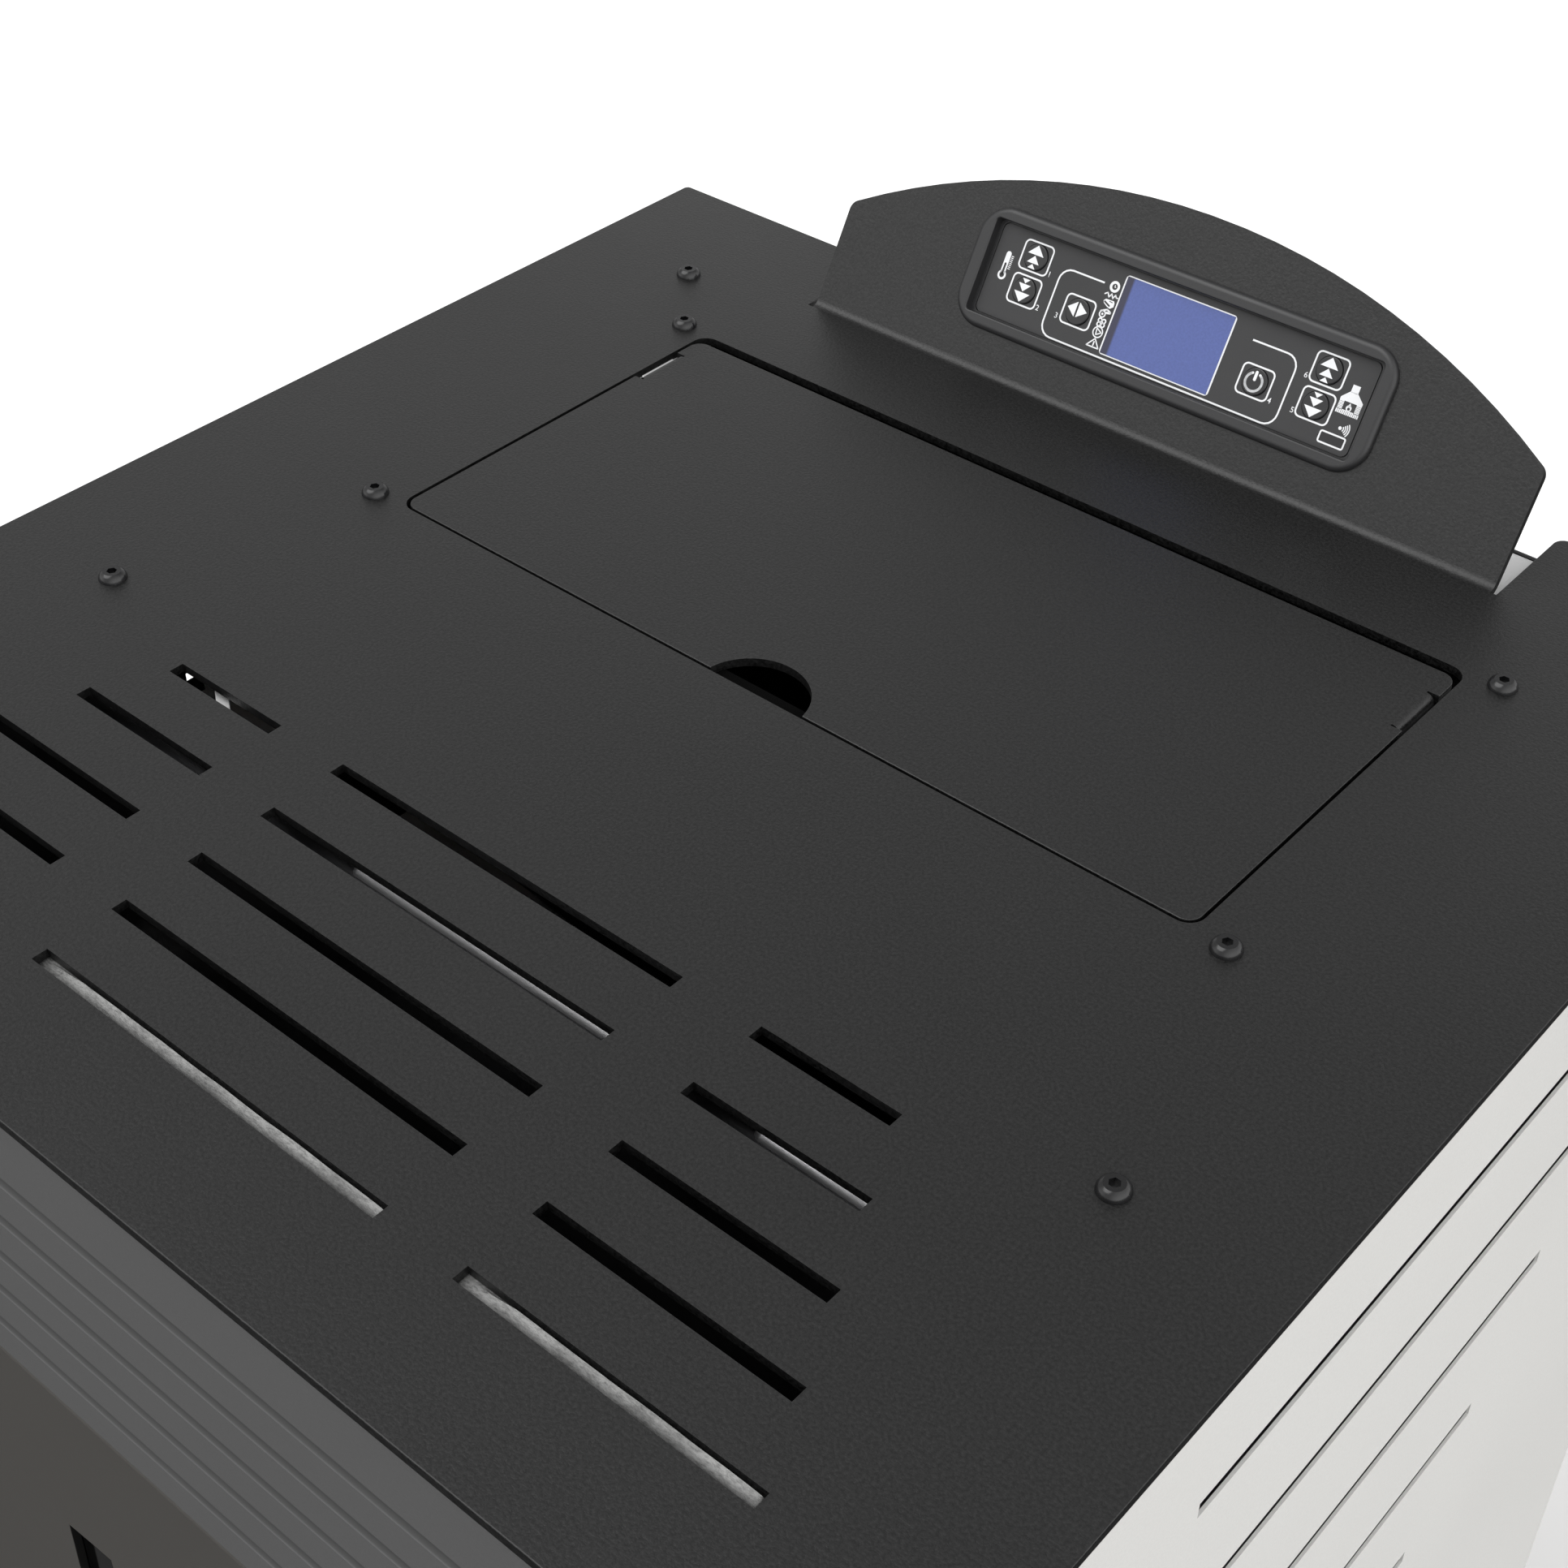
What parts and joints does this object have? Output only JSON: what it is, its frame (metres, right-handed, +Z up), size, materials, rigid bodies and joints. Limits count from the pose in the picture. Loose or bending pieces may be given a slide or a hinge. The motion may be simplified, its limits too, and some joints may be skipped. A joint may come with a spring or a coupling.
{
  "type": "pellet stove",
  "caption": "Free-standing wood pellet stove: hinged hopper lid and vent slots in the top, tilted keypad bracket, glazed door, ash drawer, auger feed, fans and rear flue.",
  "frame": {"origin": "on the floor, under the middle of the top plate", "axes": "+X to the right of someone facing the stove, +Y towards the wall behind it, +Z up"},
  "size_m": [0.5, 0.554, 1.0195],
  "materials": {
    "plate_paint": "fine textured dark grey powder coat",
    "fascia_paint": "smooth grey satin paint",
    "door_paint": "warm dark grey satin paint",
    "side_paint": "pale grey powder coat",
    "galvanised": "bright zinc sheet",
    "heat_paint": "matt black heat paint",
    "cast_iron": "raw casting",
    "pot_steel": "heat resisting steel",
    "screw_black": "black zinc",
    "lever_steel": "satin steel",
    "bezel_plastic": "moulded, semi gloss",
    "keypad_film": "printed film",
    "key_plastic": "soft touch",
    "display_glass": "liquid crystal window",
    "housing_plastic": "moulded",
    "board": "circuit board",
    "door_glass": "ceramic glass",
    "rope": "woven glass rope",
    "seal_foam": "soft strip",
    "liner_board": "pressed mineral board",
    "motor_paint": "dipped",
    "wheel_steel": "pressed",
    "foot_rubber": "moulded",
    "inlet_plastic": "moulded",
    "duct_aluminium": "cast housing"
  },
  "bodies": {
    "casing": {"air_intake_pipe": "galvanised", "auger_gearmotor": "motor_paint", "auger_tube": "heat_paint", "baffle_plate": "liner_board", "base_plate": "galvanised", "blower_housing": "galvanised", "blower_motor": "motor_paint", "control_bezel": "bezel_plastic", "control_board": "board", "convection_duct": "galvanised", "display_housing": "housing_plastic", "display_window": "display_glass", "door_hinge_brackets": "screw_black", "exhaust_fan_housing": "duct_aluminium", "exhaust_motor": "motor_paint", "fire_back": "cast_iron", "firebox_shell": "heat_paint", "flue_spigot": "duct_aluminium", "front_fascia": "fascia_paint", "hopper": "heat_paint", "hopper_seal": "seal_foam", "igniter": "pot_steel", "keypad_face": "keypad_film", "levelling_feet": "foot_rubber", "lid_hinge_brackets": "galvanised", "lower_front_panel": "door_paint", "pellet_chute": "heat_paint", "pot_holder": "cast_iron", "power_inlet": "inlet_plastic", "rear_panel": "galvanised", "rear_top_trim": "screw_black", "side_liners": "liner_board", "side_panel_left": "side_paint", "side_panel_right": "side_paint", "smoke_duct": "heat_paint", "top_plate": "plate_paint", "top_plate_screws": "screw_black"},
    "lid": {"hopper_lid": "plate_paint"},
    "door": {"door_panel": "door_paint", "door_frame": "heat_paint", "door_glass": "door_glass", "glass_clips": "galvanised", "door_gasket": "rope"},
    "lever": {"door_handle": "lever_steel", "latch_cam": "lever_steel"},
    "drawer": {"ash_drawer_box": "heat_paint", "ash_drawer_front": "door_paint", "drawer_pull": "lever_steel"},
    "pot": {"burn_pot": "pot_steel"},
    "auger": {"auger_screw": "pot_steel"},
    "exhaust_wheel": {"exhaust_impeller": "wheel_steel"},
    "room_wheel": {"blower_wheel": "wheel_steel"},
    "rocker": {"power_rocker": "inlet_plastic"},
    "button_1": {"key_1": "key_plastic"},
    "button_2": {"key_2": "key_plastic"},
    "button_3": {"key_3": "key_plastic"},
    "button_4": {"key_4": "key_plastic"},
    "button_5": {"key_5": "key_plastic"},
    "button_6": {"key_6": "key_plastic"}
  },
  "joints": [
    {"name": "lid_hinge", "type": "hinge", "parent": "casing", "child": "lid", "pos_m": [0, 0.1327, 0.94], "axis": [-1, 0, 0], "range_deg": [0, 100]},
    {"name": "door_hinge", "type": "hinge", "parent": "casing", "child": "door", "pos_m": [-0.239, -0.2385, 0.57], "axis": [0, 0, -1], "range_deg": [0, 110]},
    {"name": "lever_turn", "type": "hinge", "parent": "door", "child": "lever", "pos_m": [0.218, -0.24, 0.57], "axis": [0, 1, 0], "range_deg": [0, 90]},
    {"name": "drawer_slide", "type": "slide", "parent": "casing", "child": "drawer", "axis": [0, -1, 0], "range_m": [0, 0.19]},
    {"name": "pot_lift", "type": "slide", "parent": "casing", "child": "pot", "axis": [0, 0, 1], "range_m": [0, 0.1]},
    {"name": "auger_turn", "type": "hinge", "parent": "casing", "child": "auger", "pos_m": [0, 0.155, 0.47], "axis": [0, -0.5736, 0.8192], "continuous": true},
    {"name": "exhaust_turn", "type": "hinge", "parent": "casing", "child": "exhaust_wheel", "pos_m": [0.1, 0.1, 0.17], "axis": [1, 0, 0], "continuous": true},
    {"name": "blower_turn", "type": "hinge", "parent": "casing", "child": "room_wheel", "pos_m": [-0.14, 0.1, 0.14], "axis": [1, 0, 0], "continuous": true},
    {"name": "rocker_turn", "type": "hinge", "parent": "casing", "child": "rocker", "pos_m": [0.2, 0.2287, 0.107], "axis": [-1, 0, 0], "range_deg": [0, 14]},
    {"name": "button_1_press", "type": "slide", "parent": "casing", "child": "button_1", "axis": [0, 0.866, -0.5], "range_m": [0, 0.0004], "stiffness_N_per_m": 1500},
    {"name": "button_2_press", "type": "slide", "parent": "casing", "child": "button_2", "axis": [0, 0.866, -0.5], "range_m": [0, 0.0004], "stiffness_N_per_m": 1500},
    {"name": "button_3_press", "type": "slide", "parent": "casing", "child": "button_3", "axis": [0, 0.866, -0.5], "range_m": [0, 0.0004], "stiffness_N_per_m": 1500},
    {"name": "button_4_press", "type": "slide", "parent": "casing", "child": "button_4", "axis": [0, 0.866, -0.5], "range_m": [0, 0.0004], "stiffness_N_per_m": 1500},
    {"name": "button_5_press", "type": "slide", "parent": "casing", "child": "button_5", "axis": [0, 0.866, -0.5], "range_m": [0, 0.0004], "stiffness_N_per_m": 1500},
    {"name": "button_6_press", "type": "slide", "parent": "casing", "child": "button_6", "axis": [0, 0.866, -0.5], "range_m": [0, 0.0004], "stiffness_N_per_m": 1500}
  ]
}
